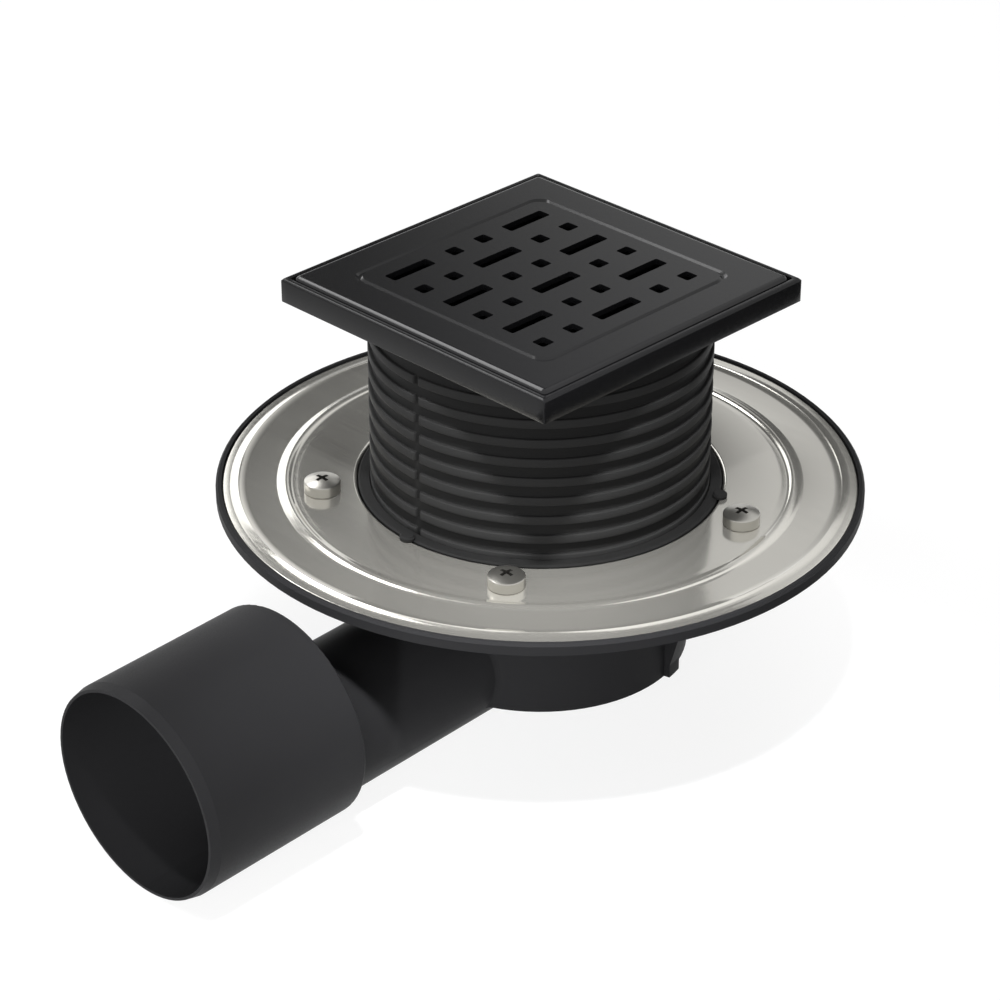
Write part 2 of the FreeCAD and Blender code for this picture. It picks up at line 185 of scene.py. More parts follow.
class StageSizes(bpy.types.PropertyGroup):
    """Camera, floor and fill light of the studio."""

    camera_place: FloatVectorProperty(name="Camera", description="Place of the camera",
                                      subtype="TRANSLATION", default=(0.66243, -0.68336, 0.53305))
    camera_turn: FloatVectorProperty(name="Turn", description="Turn of the camera", subtype="EULER",
                                     default=(math.radians(60.24), 0, math.radians(44.93)))
    lens: FloatProperty(name="Lens", description="Focal length in millimetres", default=115.0,
                        subtype="DISTANCE_CAMERA")
    floor_side: length("Floor", "Side of the floor", 12.0)
    fill: FloatProperty(name="Fill", description="Light from all round", default=0.35, min=0)


def add_node(tree, kind, settings=None, **inputs):
    """New node with its settings. An input goes by its name, or by its number as in _0, and is a value
    or the output socket that feeds it."""
    node = tree.nodes.new(kind)
    for name, value in (settings or {}).items():
        setattr(node, name, value)
    for name, value in inputs.items():
        number = name[1:]
        socket = node.inputs[int(number) if number.isdigit() else name.replace("_", " ")]
        if isinstance(value, bpy.types.NodeSocket):
            tree.links.new(value, socket)
        else:
            socket.default_value = value
    return node


def new_material(name):
    """Empty node material and its tree."""
    material = bpy.data.materials.new(name)
    material.use_nodes = True
    material.node_tree.nodes.clear()
    return material, material.node_tree


def per_metre(size_mm):
    """Scale of a pattern whose features are this many millimetres across."""
    return 1 / (size_mm * MM)


def tinted(base, share):
    """Colour with its red, green and blue times a share."""
    return [share * c for c in base[:3]] + [1]


# Sizes of the patterns in millimetres. The rolling lines run along X.
FLOW_MARK_MM = 40
ORANGE_PEEL_MM = 1.6
POWDER_MM = 0.4
BLOOM_MM = 6
ROLLING_MM = (60, 1.5, 4)

# Tint at a pattern's far end as a share of the base colour, and the share of the colour that painted shade
# leaves at a groove's floor.
FLOW_MARK_TINT = 1.25
POWDER_TINT = 1.2
BLOOM_TINT = 1.5
ROLLING_TINT = 0.97
GROOVE_PAINTED_SHADE = 0.55

# How far roughness strays each way in a pattern, and the depth of the finest bumps.
GRIT_STRAY = 0.05
ROLLING_STRAY = 0.02
BUMP_DEPTH = 0.1 * MM

# Noise lies mostly between these two values, so they give the two ends of a finish's roughness.
NOISE_SPAN = {"From_Min": 0.3, "From_Max": 0.7}

# Settings of a node that mixes two colours.
MIX_COLOURS = {"data_type": "RGBA", "blend_type": "MIX"}


def moulded_plastic(name, base, roughness, grit_mm, shine, ribs=None):
    """Dark moulded plastic: the fine grit of the mould's wall scatters a soft sheen, a coarse wall leaves
    little shine, and faint cloudy flow marks vary the colour. The grit is drawn coarser than the real one
    so that it shows. Where ribs are given as two radii, painted shade darkens the grooves between them,
    most at the groove's floor."""
    material, tree = new_material(name)
    place = add_node(tree, "ShaderNodeTexCoord").outputs["Object"]
    grit = add_node(tree, "ShaderNodeTexNoise", Vector=place, Scale=per_metre(grit_mm), Detail=3.0)
    cloud = add_node(tree, "ShaderNodeTexNoise", Vector=place, Scale=per_metre(FLOW_MARK_MM), Detail=2.0)
    shade = add_node(tree, "ShaderNodeMix", MIX_COLOURS, _0=cloud.outputs["Fac"],
                     _6=base, _7=tinted(base, FLOW_MARK_TINT))
    shown = shade.outputs[2]
    if ribs:
        level = add_node(tree, "ShaderNodeVectorMath", {"operation": "MULTIPLY"}, _0=place, _1=(1, 1, 0))
        radius = add_node(tree, "ShaderNodeVectorMath", {"operation": "LENGTH"}, _0=level.outputs[0])
        # Painted shade: the colour darkens from a rib's flat down to the groove's floor.
        depth = add_node(tree, "ShaderNodeMapRange", Value=radius.outputs["Value"],
                         From_Min=ribs[0], From_Max=ribs[1], To_Min=GROOVE_PAINTED_SHADE, To_Max=1.0)
        with_painted_groove_shade = add_node(tree, "ShaderNodeMix", MIX_COLOURS,
                           _0=depth.outputs["Result"], _6=(0, 0, 0, 1), _7=shown)
        shown = with_painted_groove_shade.outputs[2]
    gloss = add_node(tree, "ShaderNodeMapRange", Value=grit.outputs["Fac"], **NOISE_SPAN,
                     To_Min=roughness - GRIT_STRAY, To_Max=roughness + GRIT_STRAY)
    bump = add_node(tree, "ShaderNodeBump", Strength=0.06, Distance=BUMP_DEPTH, Height=grit.outputs["Fac"])
    skin = add_node(tree, "ShaderNodeBsdfPrincipled", Base_Color=shown, IOR=1.49,
                    Specular_IOR_Level=shine, Roughness=gloss.outputs["Result"],
                    Normal=bump.outputs["Normal"])
    add_node(tree, "ShaderNodeOutputMaterial", Surface=skin.outputs["BSDF"])
    return material


def powder_coat(name, base):
    """Matt black powder coat on steel: a low orange peel that ripples the reflections a little."""
    material, tree = new_material(name)
    place = add_node(tree, "ShaderNodeTexCoord").outputs["Object"]
    peel = add_node(tree, "ShaderNodeTexNoise", Vector=place, Scale=per_metre(ORANGE_PEEL_MM), Detail=2.0)
    speck = add_node(tree, "ShaderNodeTexNoise", Vector=place, Scale=per_metre(POWDER_MM), Detail=1.0)
    shade = add_node(tree, "ShaderNodeMix", MIX_COLOURS,
                     _0=speck.outputs["Fac"], _6=base, _7=tinted(base, POWDER_TINT))
    gloss = add_node(tree, "ShaderNodeMapRange", Value=speck.outputs["Fac"], **NOISE_SPAN,
                     To_Min=0.16, To_Max=0.2)
    bump = add_node(tree, "ShaderNodeBump", Strength=0.05, Distance=BUMP_DEPTH, Height=peel.outputs["Fac"])
    skin = add_node(tree, "ShaderNodeBsdfPrincipled", Base_Color=shade.outputs[2],
                    Specular_IOR_Level=0.34, Roughness=gloss.outputs["Result"],
                    Normal=bump.outputs["Normal"])
    add_node(tree, "ShaderNodeOutputMaterial", Surface=skin.outputs["BSDF"])
    return material


def moulded_rubber(name, base):
    """Moulded rubber: dull and dark, with a thin pale bloom in patches."""
    material, tree = new_material(name)
    place = add_node(tree, "ShaderNodeTexCoord").outputs["Object"]
    bloom = add_node(tree, "ShaderNodeTexNoise", Vector=place, Scale=per_metre(BLOOM_MM), Detail=4.0)
    shade = add_node(tree, "ShaderNodeMix", MIX_COLOURS,
                     _0=bloom.outputs["Fac"], _6=base, _7=tinted(base, BLOOM_TINT))
    gloss = add_node(tree, "ShaderNodeMapRange", Value=bloom.outputs["Fac"], **NOISE_SPAN,
                     To_Min=0.55, To_Max=0.68)
    skin = add_node(tree, "ShaderNodeBsdfPrincipled", Base_Color=shade.outputs[2],
                    Specular_IOR_Level=0.1, Roughness=gloss.outputs["Result"])
    add_node(tree, "ShaderNodeOutputMaterial", Surface=skin.outputs["BSDF"])
    return material


def pressed_stainless(name, base, metallic, roughness):
    """Pressed stainless sheet: bright cold-rolled metal whose fine rolling lines, all one way, blur the
    reflections and vary the gloss. The lines are drawn wider than real so that they show."""
    material, tree = new_material(name)
    place = add_node(tree, "ShaderNodeTexCoord").outputs["Object"]
    stretched = add_node(tree, "ShaderNodeMapping", Vector=place,
                         Scale=[per_metre(size) for size in ROLLING_MM])
    rolling = add_node(tree, "ShaderNodeTexNoise", Vector=stretched.outputs["Vector"],
                       Scale=1.0, Detail=3.0)
    shade = add_node(tree, "ShaderNodeMix", MIX_COLOURS,
                     _0=rolling.outputs["Fac"], _6=tinted(base, ROLLING_TINT), _7=base)
    gloss = add_node(tree, "ShaderNodeMapRange", Value=rolling.outputs["Fac"], **NOISE_SPAN,
                     To_Min=roughness - ROLLING_STRAY, To_Max=roughness + ROLLING_STRAY)
    skin = add_node(tree, "ShaderNodeBsdfPrincipled", Base_Color=shade.outputs[2], Metallic=metallic,
                    Roughness=gloss.outputs["Result"])
    add_node(tree, "ShaderNodeOutputMaterial", Surface=skin.outputs["BSDF"])
    return material


def shown_rays(tree):
    """Socket that is 1 for the rays that show the stage: camera, glossy and transmission."""
    path = add_node(tree, "ShaderNodeLightPath")
    seen = add_node(tree, "ShaderNodeMath", {"operation": "MAXIMUM"},
                    _0=path.outputs["Is Camera Ray"], _1=path.outputs["Is Glossy Ray"])
    either = add_node(tree, "ShaderNodeMath", {"operation": "MAXIMUM"},
                      _0=seen.outputs[0], _1=path.outputs["Is Transmission Ray"])
    return either.outputs[0]


def dress(node_name, material):
    """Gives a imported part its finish."""
    for slot in frame["nodes"][node_name].material_slots:
        slot.material = material


def draw_profile(mesh, corners, segments, closed):
    """Line through corners (radius, height, setback) at azimuth 0, rounded where a setback is given."""
    verts = [mesh.verts.new((r, 0, z)) for r, z, _ in corners]
    for start, end in zip(verts, verts[1:]):
        mesh.edges.new((start, end))
    if closed:
        mesh.edges.new((verts[-1], verts[0]))
    for vert, (_, _, setback) in zip(verts, corners):
        if setback > 0:
            bmesh.ops.bevel(mesh, geom=[vert], offset=setback, offset_type="OFFSET", segments=segments,
                            profile=0.5, affect="VERTICES", material=-1, clamp_overlap=True)


def spin_round(mesh, steps):
    """Turns a profile all the way round the axis."""
    bmesh.ops.spin(mesh, geom=mesh.verts[:] + mesh.edges[:], cent=ORIGIN, axis=AXIS,
                   angle=math.tau, steps=steps, use_merge=True)


def weld(mesh):
    """Merges a mesh's doubles and turns its faces outwards."""
    bmesh.ops.remove_doubles(mesh, verts=mesh.verts[:], dist=WELD)
    bmesh.ops.recalc_face_normals(mesh, faces=mesh.faces[:])


def new_object(name, mesh):
    """Object in the scene from a bmesh, which is freed."""
    data = bpy.data.meshes.new(name)
    mesh.to_mesh(data)
    mesh.free()
    made = bpy.data.objects.new(name, data)
    bpy.context.scene.collection.objects.link(made)
    return made


def finish_piece(name, mesh, materials, body, node_name, sharp_angle):
    """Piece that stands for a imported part, with its finishes, on its body."""
    weld(mesh)
    piece = new_object(name, mesh)
    piece.data.shade_smooth()
    piece.data.set_sharp_from_angle(angle=math.radians(sharp_angle))
    for material in materials:
        piece.data.materials.append(material)
    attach(piece, body)
    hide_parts(node_name)


# Share of a flank that each round of its S-bend takes: just under half, so that they don't meet.
FLANK_ROUND = 0.49

# Share of a ridge's flank that the round at its foot takes: just short of the creased crest.
FOOT_ROUND = 0.95


def flank_corners(start, end, low, high):
    """Two corners whose rounds make an even S-bend from one level to another."""
    turn = 2 * math.atan2(abs(high - low), end - start)
    slope = (end - start) / (1 + math.cos(turn))
    setback = FLANK_ROUND * slope
    return [(start + slope / 2, low, setback), (end - slope / 2, high, setback)]


def pressing_corners(bore, top, crest, sizes):
    """Corners across the collar's pressed top, over the soft inner wave and the creased outer ridge."""
    dip = bore + sizes.inner_flat
    valley = dip + sizes.dip_width
    wave = valley + sizes.wave_rise
    wave_end = wave + sizes.wave_fall
    foot = wave_end + sizes.middle_flat
    ridge = foot + sizes.ridge_flank
    turn = 2 * math.atan2(crest - top, sizes.ridge_flank)
    bend = sizes.ridge_flank / (1 + math.cos(turn))
    corners = [(dip, top, sizes.dip_width / 3)]
    corners += flank_corners(valley, wave, top - sizes.dip_depth, crest)
    corners += flank_corners(wave, wave_end, crest, top)
    corners += [(foot + bend, top, FOOT_ROUND * bend), (ridge, crest, 0)]
    corners += [(ridge + sizes.ridge_flank - bend, top, FOOT_ROUND * bend)]
    return corners


class DRAIN_OT_mouldings(bpy.types.Operator):
    """Give the body, the grate, the rubber ring and the trap insert their finishes"""

    bl_idname = "drain.finish_mouldings"
    bl_label = "Finish Mouldings"

    def execute(self, context):
        colours = context.scene.drain_colours
        body = moulded_plastic("Polypropylene_spark_eroded_mould", colours.body,
                               roughness=0.45, grit_mm=0.5, shine=0.04)
        trap = moulded_plastic("Polypropylene_satin_mould", colours.trap,
                               roughness=0.38, grit_mm=0.8, shine=0.3)
        rubber = moulded_rubber("EPDM_rubber_moulded", colours.rubber)
        dress("drain_body", body)
        dress("trap_funnel", trap)
        dress("trap_cup", trap)
        dress("trap_seal", rubber)
        dress("neck_seal", rubber)
        dress("grate", powder_coat("Steel_powder_coated", colours.coat))
        return {"FINISHED"}


class DRAIN_OT_collar(bpy.types.Operator):
    """Build the pressed clamp collar"""

    bl_idname = "drain.build_collar"
    bl_label = "Build Collar"

    def execute(self, context):
        sizes = context.scene.drain_collar
        bore = seal_high.y + sizes.seal_gap
        edge = collar_high.x
        top = -sizes.below_rim
        under = top - sizes.sheet
        small = sizes.edge_round / 4
        pressing = pressing_corners(bore, top, collar_high.z, sizes)
        corners = [(bore, collar_low.z, small), (bore, top, sizes.lip_bend)]
        corners += pressing
        corners += [(edge, top, sizes.edge_round), (edge, under, small)]
        corners += [(r, max(z - sizes.sheet, under), setback) for r, z, setback in reversed(pressing)]
        corners += [
            (bore + sizes.sheet, under, small),
            (bore + sizes.sheet, collar_low.z, small),
        ]
        mesh = bmesh.new()
        draw_profile(mesh, corners, segments=8, closed=True)
        spin_round(mesh, sizes.steps)
        colours = context.scene.drain_colours
        steel = pressed_stainless("Stainless_sheet_bright_rolled", colours.steel,
                                  metallic=0.87, roughness=0.14)
        finish_piece("collar_pressed", mesh, [steel], "drain", "clamp_collar", CREASE)
        return {"FINISHED"}


# Length and width of a recess's arm at its foot, as shares of those at its mouth, with its depth kept.
RECESS_TAPER = (0.45, 0.7, 1)


def cross_cutter(sizes, top):
    """Object in the shape of a cross with tapering arms, which cuts the recess."""
    mesh = bmesh.new()
    for turn in (0, 90):
        arm = bmesh.ops.create_cube(mesh, size=1)["verts"]
        bmesh.ops.scale(mesh, verts=arm, vec=(sizes.recess, sizes.recess_arm, 2 * sizes.recess_depth))
        tips = [v for v in arm if v.co.z < 0]
        bmesh.ops.scale(mesh, verts=tips, vec=RECESS_TAPER)
        bmesh.ops.rotate(mesh, verts=arm, cent=ORIGIN,
                         matrix=Matrix.Rotation(math.radians(turn), 3, "Z"))
    bmesh.ops.translate(mesh, verts=mesh.verts[:], vec=(0, 0, top))
    return new_object("cross_cutter", mesh)


def cut_by(piece_mesh, cutter):
    """Mesh with a cutter's shape taken out of it; the cutter is removed."""
    blank = new_object("blank", piece_mesh)
    cut = blank.modifiers.new("cut", "BOOLEAN")
    cut.operation = "DIFFERENCE"
    cut.solver = "EXACT"
    cut.use_self = True
    cut.object = cutter
    bpy.context.view_layer.update()
    made = bmesh.new()
    made.from_object(blank, bpy.context.evaluated_depsgraph_get())
    bpy.data.objects.remove(blank)
    bpy.data.objects.remove(cutter)
    return made


class DRAIN_OT_screws(bpy.types.Operator):
    """Build the pan head screws with their cross recesses"""

    bl_idname = "drain.build_screws"
    bl_label = "Build Screws"

    # A face at least this far below the dome is in the recess.
    below_dome = 0.15 * MM

    def execute(self, context):
        sizes = context.scene.drain_screws
        foot = -context.scene.drain_collar.below_rim
        head = sizes.head / 2
        shank = sizes.shank / 2
        top = screws_high.z
        corners = [
            (0, screws_low.z, 0),
            (shank, screws_low.z + sizes.point, 0),
            (shank, foot, 0),
            (head - sizes.head_edge, foot, 0),
            (head, foot + sizes.head_edge, 0),
            (head, foot + sizes.head_side, sizes.head_edge),
        ]
        rise = top - foot - sizes.head_side
        for k in range(1, sizes.dome_steps + 1):
            share = 1 - k / sizes.dome_steps
            corners.append((head * share, top - rise * share ** 2, 0))
        mesh = bmesh.new()
        draw_profile(mesh, corners, segments=8, closed=False)
        spin_round(mesh, sizes.steps)
        weld(mesh)
        mesh = cut_by(mesh, cross_cutter(sizes, top))
        self.mark_recess(mesh, sizes, head, rise, top)
        one = mesh.verts[:] + mesh.edges[:] + mesh.faces[:]
        first = mesh.verts[:]
        for k in range(1, sizes.count):
            copy = bmesh.ops.duplicate(mesh, geom=one)["geom"]
            self.move_out(mesh, [v for v in copy if isinstance(v, bmesh.types.BMVert)], sizes, k)
        self.move_out(mesh, first, sizes, 0)
        colours = context.scene.drain_colours
        steel = pressed_stainless("Stainless_cold_headed_screw", colours.screw,
                                  metallic=0.95, roughness=0.3)
        # Rougher steel for the recesses, whose darker colour is painted shade.
        recess_painted_shade = pressed_stainless("Stainless_recess_painted_shade", colours.recess,
                                    metallic=0.85, roughness=0.5)
        finish_piece("screws_cross_recess", mesh, [steel, recess_painted_shade], "drain",
                     "collar_screws", CREASE)
        return {"FINISHED"}

    def mark_recess(self, mesh, sizes, head, rise, top):
        """Gives the recess's faces, which lie below the dome, the second material: rougher steel whose
        darker colour is painted shade in the recess.
        """
        for face in mesh.faces:
            middle = face.calc_center_median()
            out = middle.xy.length
            dome = top - rise * (out / head) ** 2
            in_cross = out < sizes.recess / 2 and middle.z > top - sizes.recess_depth - NEAR
            face.material_index = int(in_cross and middle.z < dome - self.below_dome)

    def move_out(self, mesh, verts, sizes, k):
        """Moves a screw from the axis to its place on the screw circle."""
        angle = math.pi / 2 + math.tau * k / sizes.count
        place = Vector((math.cos(angle), math.sin(angle), 0)) * sizes.circle
        bmesh.ops.translate(mesh, verts=verts, vec=place)


def rib_corners(sizes, groove, low, top):
    """Corners up the outside of the neck, rib by rib, to the frame's underside."""
    corners = []
    for k in range(sizes.ribs):
        start = low + k * sizes.rib_pitch
        end = start + sizes.rib_land
        following = min(start + sizes.rib_pitch, top)
        corners += [(sizes.radius, start, sizes.rib_round), (sizes.radius, end, sizes.rib_round)]
        corners += [(groove, end, sizes.rib_round / 2), (groove, following, sizes.rib_round / 2)]
    corners[-1] = (groove, top, 0)
    return corners


def spin_on(mesh, geom, angle, steps):
    """Spins the last section on by an angle and gives the new last section."""
    return bmesh.ops.spin(mesh, geom=geom, cent=ORIGIN, axis=AXIS, angle=angle, steps=steps)["geom_last"]


def raise_loop(mesh, edges, side_from, side_to, rise):
    """Extrudes a square loop to a new half side and height and gives its edges."""
    made = bmesh.ops.extrude_edge_only(mesh, edges=edges)["geom"]
    verts = {v for v in made if isinstance(v, bmesh.types.BMVert)}
    share = side_to / side_from
    bmesh.ops.scale(mesh, verts=list(verts), vec=(share, share, 1))
    bmesh.ops.translate(mesh, verts=list(verts), vec=(0, 0, rise))
    return [e for e in mesh.edges if e.verts[0] in verts and e.verts[1] in verts]


def circle_at(mesh, radius, height):
    """Open edges that lie on a level circle."""
    found = []
    for edge in mesh.edges:
        if edge.is_boundary and all(abs(v.co.z - height) < NEAR for v in edge.verts):
            if all(abs(v.co.xy.length - radius) < NEAR for v in edge.verts):
                found.append(edge)
    return found


def around(vert):
    """Angle of a vertex round the axis, from +X."""
    return math.atan2(vert.co.y, vert.co.x) % math.tau


def join_loops(mesh, circle, square):
    """Skirt from a circle out to a square loop of as many vertices, matched in order round the axis."""
    made = bmesh.ops.extrude_edge_only(mesh, edges=circle)["geom"]
    ends = sorted((v for v in made if isinstance(v, bmesh.types.BMVert)), key=around)
    goals = sorted({v for e in square for v in e.verts}, key=around)
    for end, goal in zip(ends, goals, strict=True):
        end.co = goal.co
    bmesh.ops.remove_doubles(mesh, verts=ends + goals, dist=WELD)


class DRAIN_OT_neck(bpy.types.Operator):
    """Build the ribbed neck and its square frame as one moulding"""

    bl_idname = "drain.build_neck"
    bl_label = "Build Neck"

    # Steps of the spin across a parting line, over a rib's rounded end and along half the neck.
    seam_steps = 2
    end_steps = 4
    half_steps = 98

    def execute(self, context):
        sizes = context.scene.drain_neck
        groove = sizes.radius - sizes.rib_depth
        bore = groove - sizes.wall
        frame_low = neck_high.z - sizes.frame_height
        ledge = frame_low + sizes.frame_floor
        mesh = bmesh.new()
        corners = [(bore, ledge, 0), (bore, neck_low.z, sizes.rib_round / 2)]
        draw_profile(mesh, corners + rib_corners(sizes, groove, neck_low.z, frame_low),
                     segments=3, closed=False)
        gap = sizes.seam_gap / sizes.radius
        end = sizes.seam_round / sizes.radius
        bmesh.ops.rotate(mesh, verts=mesh.verts[:], cent=ORIGIN,
                         matrix=Matrix.Rotation(-math.pi / 2 - gap / 2, 3, "Z"))
        section = mesh.verts[:] + mesh.edges[:]
        for _ in range(2):
            section = spin_on(mesh, section, gap, self.seam_steps)
            section = spin_on(mesh, section, end, self.end_steps)
            section = spin_on(mesh, section, math.pi - gap - 2 * end, self.half_steps)
            section = spin_on(mesh, section, end, self.end_steps)
        bmesh.ops.remove_doubles(mesh, verts=mesh.verts[:], dist=WELD)
        self.break_ribs(mesh, sizes, groove, frame_low)
        self.add_frame(mesh, sizes, groove, bore, frame_low, ledge)
        for face in mesh.faces:
            face.material_index = int(min(v.co.z for v in face.verts) > frame_low - NEAR)
        colours = context.scene.drain_colours
        # The ribs' radii set where painted shade darkens the grooves.
        ribbed = moulded_plastic("ABS_spark_eroded_mould", colours.neck, roughness=0.5, grit_mm=0.5,
                                 shine=0.06, ribs=(groove, sizes.radius))
        polished = moulded_plastic("ABS_polished_mould", colours.frame,
                                   roughness=0.22, grit_mm=1.5, shine=0.22)
        finish_piece("neck_ribbed", mesh, [ribbed, polished], "neck", "neck",
                     sharp_angle=40)
        return {"FINISHED"}

    def break_ribs(self, mesh, sizes, groove, frame_low):
        """Sinks the ribs to the groove at the parting line, with rounded ends."""
        for vert in mesh.verts:
            out = vert.co.xy.length - groove
            if out <= 0 or vert.co.z > frame_low - NEAR:
                continue
            away = math.asin(min(1, abs(vert.co.x) / vert.co.xy.length)) * sizes.radius
            share = (away - sizes.seam_gap / 2) / sizes.seam_round
            share = min(max(share, 0), 1)
            keep = math.sqrt(1 - (1 - share) ** 2)
            scale = (groove + out * keep) / vert.co.xy.length
            vert.co.x *= scale
            vert.co.y *= scale

    def add_frame(self, mesh, sizes, groove, bore, frame_low, ledge):
        """Square frame, joined to the tube at its underside and at its ledge."""
        tube = set(mesh.verts)
        half = neck_high.x
        square = bmesh.ops.create_grid(mesh, x_segments=1, y_segments=1, size=half)["verts"]
        bmesh.ops.translate(mesh, verts=square, vec=(0, 0, frame_low))
        bmesh.ops.bevel(mesh, geom=square, offset=sizes.frame_corner, offset_type="OFFSET", segments=4,
                        profile=0.5, affect="VERTICES", material=-1)
        faces = [f for f in mesh.faces if f.verts[0] not in tube]
        outline = [e for f in faces for e in f.edges]
        bmesh.ops.delete(mesh, geom=faces, context="FACES_ONLY")
        sides = [e for e in outline if e.calc_length() > half]
        round_steps = 2 * (self.seam_steps + 2 * self.end_steps + self.half_steps)
        cuts = (round_steps - (len(outline) - len(sides))) // len(sides) - 1
        bmesh.ops.subdivide_edges(mesh, edges=sides, cuts=cuts)
        under = [e for e in mesh.edges if e.is_wire]
        chamfer_low = sizes.frame_height - sizes.frame_chamfer
        inside = half - sizes.frame_wall
        edge = raise_loop(mesh, under, half, half, chamfer_low)
        edge = raise_loop(mesh, edge, half, half - sizes.frame_chamfer, sizes.frame_chamfer)
        edge = raise_loop(mesh, edge, half - sizes.frame_chamfer, inside, 0)
        edge = raise_loop(mesh, edge, inside, inside, sizes.frame_floor - sizes.frame_height)
        join_loops(mesh, circle_at(mesh, groove, frame_low), under)
        join_loops(mesh, circle_at(mesh, bore, ledge), edge)
        bmesh.ops.recalc_face_normals(mesh, faces=mesh.faces[:])
        creased = []
        for e in mesh.edges:
            outside = max(abs(e.verts[0].co.x), abs(e.verts[0].co.y)) > inside - NEAR
            if outside and len(e.link_faces) == 2 and e.calc_face_angle() > math.radians(CREASE):
                creased.append(e)
        bmesh.ops.bevel(mesh, geom=creased, offset=sizes.edge_round, offset_type="OFFSET", segments=2,
                        profile=0.5, affect="EDGES", material=-1, clamp_overlap=True)


# Radius of a snoot's mouth, and what is left of white at the dark end of a graded card.
SNOOT_RADIUS = 80 * MM
CARD_SHADE = 0.08


def hang_lamp(data, place, target):
    """Lamp at a place, looking at a target."""
    lamp = bpy.data.objects.new(data.name, data)
    lamp.location = place
    lamp.rotation_euler = (Vector(target) - Vector(place)).to_track_quat("-Z", "Y").to_euler()
    bpy.context.scene.collection.objects.link(lamp)
    return lamp


def soft_box(name, place, target, size, watts):
    """Rectangular lamp with soft shadows."""
    data = bpy.data.lights.new(name, "AREA")
    data.shape = "RECTANGLE"
    data.size, data.size_y = size
    data.energy = watts
    return hang_lamp(data, place, target)


def snoot(name, place, target, degrees, watts):
    """Narrow lamp with a soft edge, which reflections don't show."""
    data = bpy.data.lights.new(name, "SPOT")
    data.spot_size = math.radians(degrees)
    data.spot_blend = 1.0
    data.shadow_soft_size = SNOOT_RADIUS
    data.energy = watts
    lamp = hang_lamp(data, place, target)
    lamp.visible_glossy = False


def graded_card(fade):
    """Studio card that is white at one edge and falls to dark over a share of its height."""
    material, tree = new_material("Studio_graded_card")
    place = add_node(tree, "ShaderNodeTexCoord").outputs["UV"]
    height = add_node(tree, "ShaderNodeSeparateXYZ", Vector=place).outputs["Y"]
    shade = add_node(tree, "ShaderNodeMapRange", Value=height, From_Max=fade,
                     To_Min=1.0, To_Max=CARD_SHADE)
    glow = add_node(tree, "ShaderNodeEmission", Color=WHITE, Strength=shade.outputs["Result"])
    add_node(tree, "ShaderNodeOutputMaterial", Surface=glow.outputs[0])
    return material


def hang_flag(name, place, target, size, turn, fade):
    """Graded card that only reflections show, facing a target and turned about the line to it."""
    mesh = bmesh.new()
    mesh.loops.layers.uv.verify()
    bmesh.ops.create_grid(mesh, x_segments=1, y_segments=1, size=0.5, calc_uvs=True)
    bmesh.ops.scale(mesh, verts=mesh.verts[:], vec=(*size, 1))
    bmesh.ops.rotate(mesh, verts=mesh.verts[:], cent=ORIGIN,
                     matrix=Matrix.Rotation(math.radians(turn), 3, "Z"))
    aim = (Vector(target) - Vector(place)).to_track_quat("Z", "Y").to_matrix()
    bmesh.ops.rotate(mesh, verts=mesh.verts[:], cent=ORIGIN, matrix=aim)
    bmesh.ops.translate(mesh, verts=mesh.verts[:], vec=place)
    flag = new_object(name, mesh)
    flag.data.materials.append(graded_card(fade))
    flag.visible_camera = False
    flag.visible_diffuse = False
    flag.visible_shadow = False


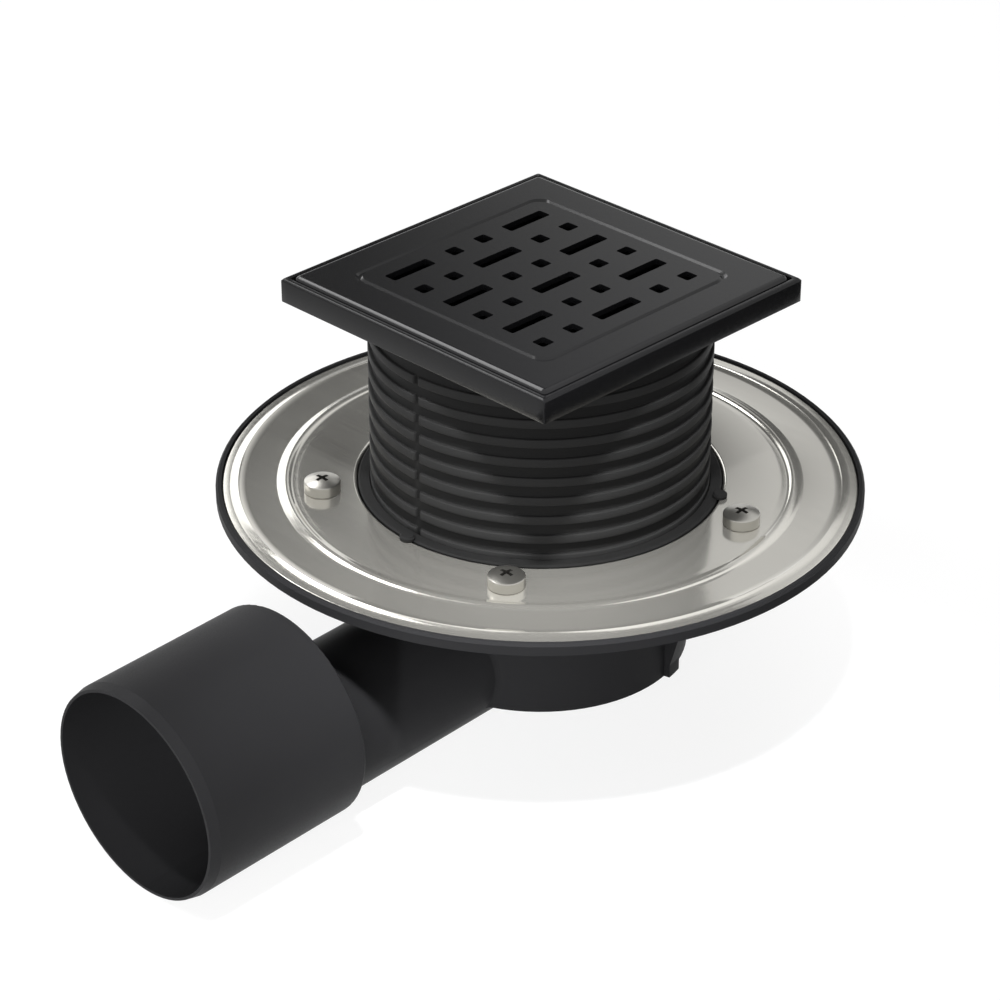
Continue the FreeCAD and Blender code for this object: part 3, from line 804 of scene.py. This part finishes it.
class DRAIN_OT_stage(bpy.types.Operator):
    """Set up the floor, the light and the camera"""

    bl_idname = "drain.set_stage"
    bl_label = "Set Stage"

    def execute(self, context):
        scene = context.scene
        sizes = scene.drain_stage
        scene.view_settings.view_transform = "Standard"
        self.set_world(scene, sizes)
        self.lay_floor(sizes)
        self.hang_lamps()
        self.hang_flags()
        self.set_camera(scene, sizes)
        return {"FINISHED"}

    def hang_lamps(self):
        """Soft light from the left, the front and above, two strips that the edges and the steel mirror,
        and a snoot each on the front of the flange and on the outlet."""
        target = (0, -0.03, 0)
        key = soft_box("key_left", (-0.89, -0.89, 0.985), target, size=(0.45, 0.45), watts=6)
        edge = soft_box("strip_edge", (-1.091, -0.193, 1.418), target, size=(1.6, 0.5), watts=16)
        front = soft_box("front", (0.8, -1.25, 0.4), target, size=(0.8, 0.8), watts=16)
        top = soft_box("top", (0.1, 0.2, 1.5), target, size=(1.2, 1.2), watts=8)
        soft_box("strip_back", (-1.798, 0.598, 0.727), target, size=(1.02, 0.9), watts=6.3)
        for lamp in (key, front, top):
            lamp.visible_glossy = False
        edge.visible_diffuse = False
        snoot("snoot_front", (0.4, -0.41, 1.3), (0.064, -0.066, 0), degrees=9, watts=380)
        snoot("snoot_outlet", (0.7, -1.52, 0.22), (0.005, -0.175, -0.045), degrees=7, watts=190)

    def hang_flags(self):
        """Cards that darken what the grate and the collar mirror: behind, at the back right and on the
        floor beside the drain."""
        back = (-1.935, 1.2324, 1.5274)
        hang_flag("flag_back", back, ORIGIN, size=(3.0, 2.0), turn=64.2, fade=0.27)
        right = (-0.769, 1.855, 0.614)
        hang_flag("flag_right", right, ORIGIN, size=(0.85, 1.0), turn=0, fade=0.1)
        beside = Vector((1.05, 0.8, cad_box[0].z + 1 * MM))
        hang_flag("flag_floor", beside, beside + AXIS, size=(1.8, 2.4), turn=0, fade=0.01)

    def set_camera(self, scene, sizes):
        """Camera at the view that shows the grate, the collar and the outlet."""
        data = bpy.data.cameras.new("camera")
        data.lens = sizes.lens
        data.clip_start = 10 * MM
        camera = bpy.data.objects.new("camera", data)
        camera.location = sizes.camera_place
        camera.rotation_euler = sizes.camera_turn
        scene.collection.objects.link(camera)
        scene.camera = camera

    def set_world(self, scene, sizes):
        """White to the eye and in reflections, and an even fill for everything else."""
        world = bpy.data.worlds.new("studio")
        world.use_nodes = True
        tree = world.node_tree
        tree.nodes.clear()
        shown = shown_rays(tree)
        fill = add_node(tree, "ShaderNodeBackground", Color=WHITE, Strength=sizes.fill)
        white = add_node(tree, "ShaderNodeBackground", Color=WHITE, Strength=1.0)
        mixed = add_node(tree, "ShaderNodeMixShader", _0=shown, _1=fill.outputs[0], _2=white.outputs[0])
        add_node(tree, "ShaderNodeOutputWorld", Surface=mixed.outputs[0])
        scene.world = world

    def lay_floor(self, sizes):
        """Pale floor under the lowest point. To the eye its glow and the light on a grey add up to white,
        and a shadow takes the grey's part away."""
        mesh = bmesh.new()
        bmesh.ops.create_grid(mesh, x_segments=1, y_segments=1, size=sizes.floor_side / 2)
        bmesh.ops.translate(mesh, verts=mesh.verts[:], vec=(0, 0, cad_box[0].z))
        floor = new_object("floor", mesh)
        material, tree = new_material("Studio_floor_paper")
        shown = shown_rays(tree)
        paper = add_node(tree, "ShaderNodeBsdfDiffuse", Color=linear("#b8b8b8"))
        grey = add_node(tree, "ShaderNodeBsdfDiffuse", Color=linear("#808080"))
        glow = add_node(tree, "ShaderNodeEmission", Color=WHITE, Strength=0.83)
        lit = add_node(tree, "ShaderNodeAddShader", _0=grey.outputs[0], _1=glow.outputs[0])
        mixed = add_node(tree, "ShaderNodeMixShader", _0=shown, _1=paper.outputs[0], _2=lit.outputs[0])
        add_node(tree, "ShaderNodeOutputMaterial", Surface=mixed.outputs[0])
        floor.data.materials.append(material)


class DRAIN_PT_panel(bpy.types.Panel):
    """Steps that dress the drain, in order"""

    bl_idname = "DRAIN_PT_panel"
    bl_label = "Shower Drain"
    bl_space_type = "VIEW_3D"
    bl_region_type = "UI"
    bl_category = "Drain"

    def draw(self, context):
        for step in STEPS:
            self.layout.operator(step.bl_idname)


STEPS = (DRAIN_OT_mouldings, DRAIN_OT_collar, DRAIN_OT_screws, DRAIN_OT_neck, DRAIN_OT_stage)
GROUPS = {
    "drain_colours": DrainColours,
    "drain_collar": CollarSizes,
    "drain_screws": ScrewSizes,
    "drain_neck": NeckSizes,
    "drain_stage": StageSizes,
}


def register():
    for name, group in GROUPS.items():
        bpy.utils.register_class(group)
        setattr(bpy.types.Scene, name, PointerProperty(type=group))
    for step in STEPS:
        bpy.utils.register_class(step)
    bpy.utils.register_class(DRAIN_PT_panel)


def unregister():
    bpy.utils.unregister_class(DRAIN_PT_panel)
    for step in reversed(STEPS):
        bpy.utils.unregister_class(step)
    for name, group in GROUPS.items():
        delattr(bpy.types.Scene, name)
        bpy.utils.unregister_class(group)


def main():
    register()
    bpy.ops.drain.finish_mouldings()
    bpy.ops.drain.build_collar()
    bpy.ops.drain.build_screws()
    bpy.ops.drain.build_neck()
    bpy.ops.drain.set_stage()


if __name__ == "__main__":
    main()
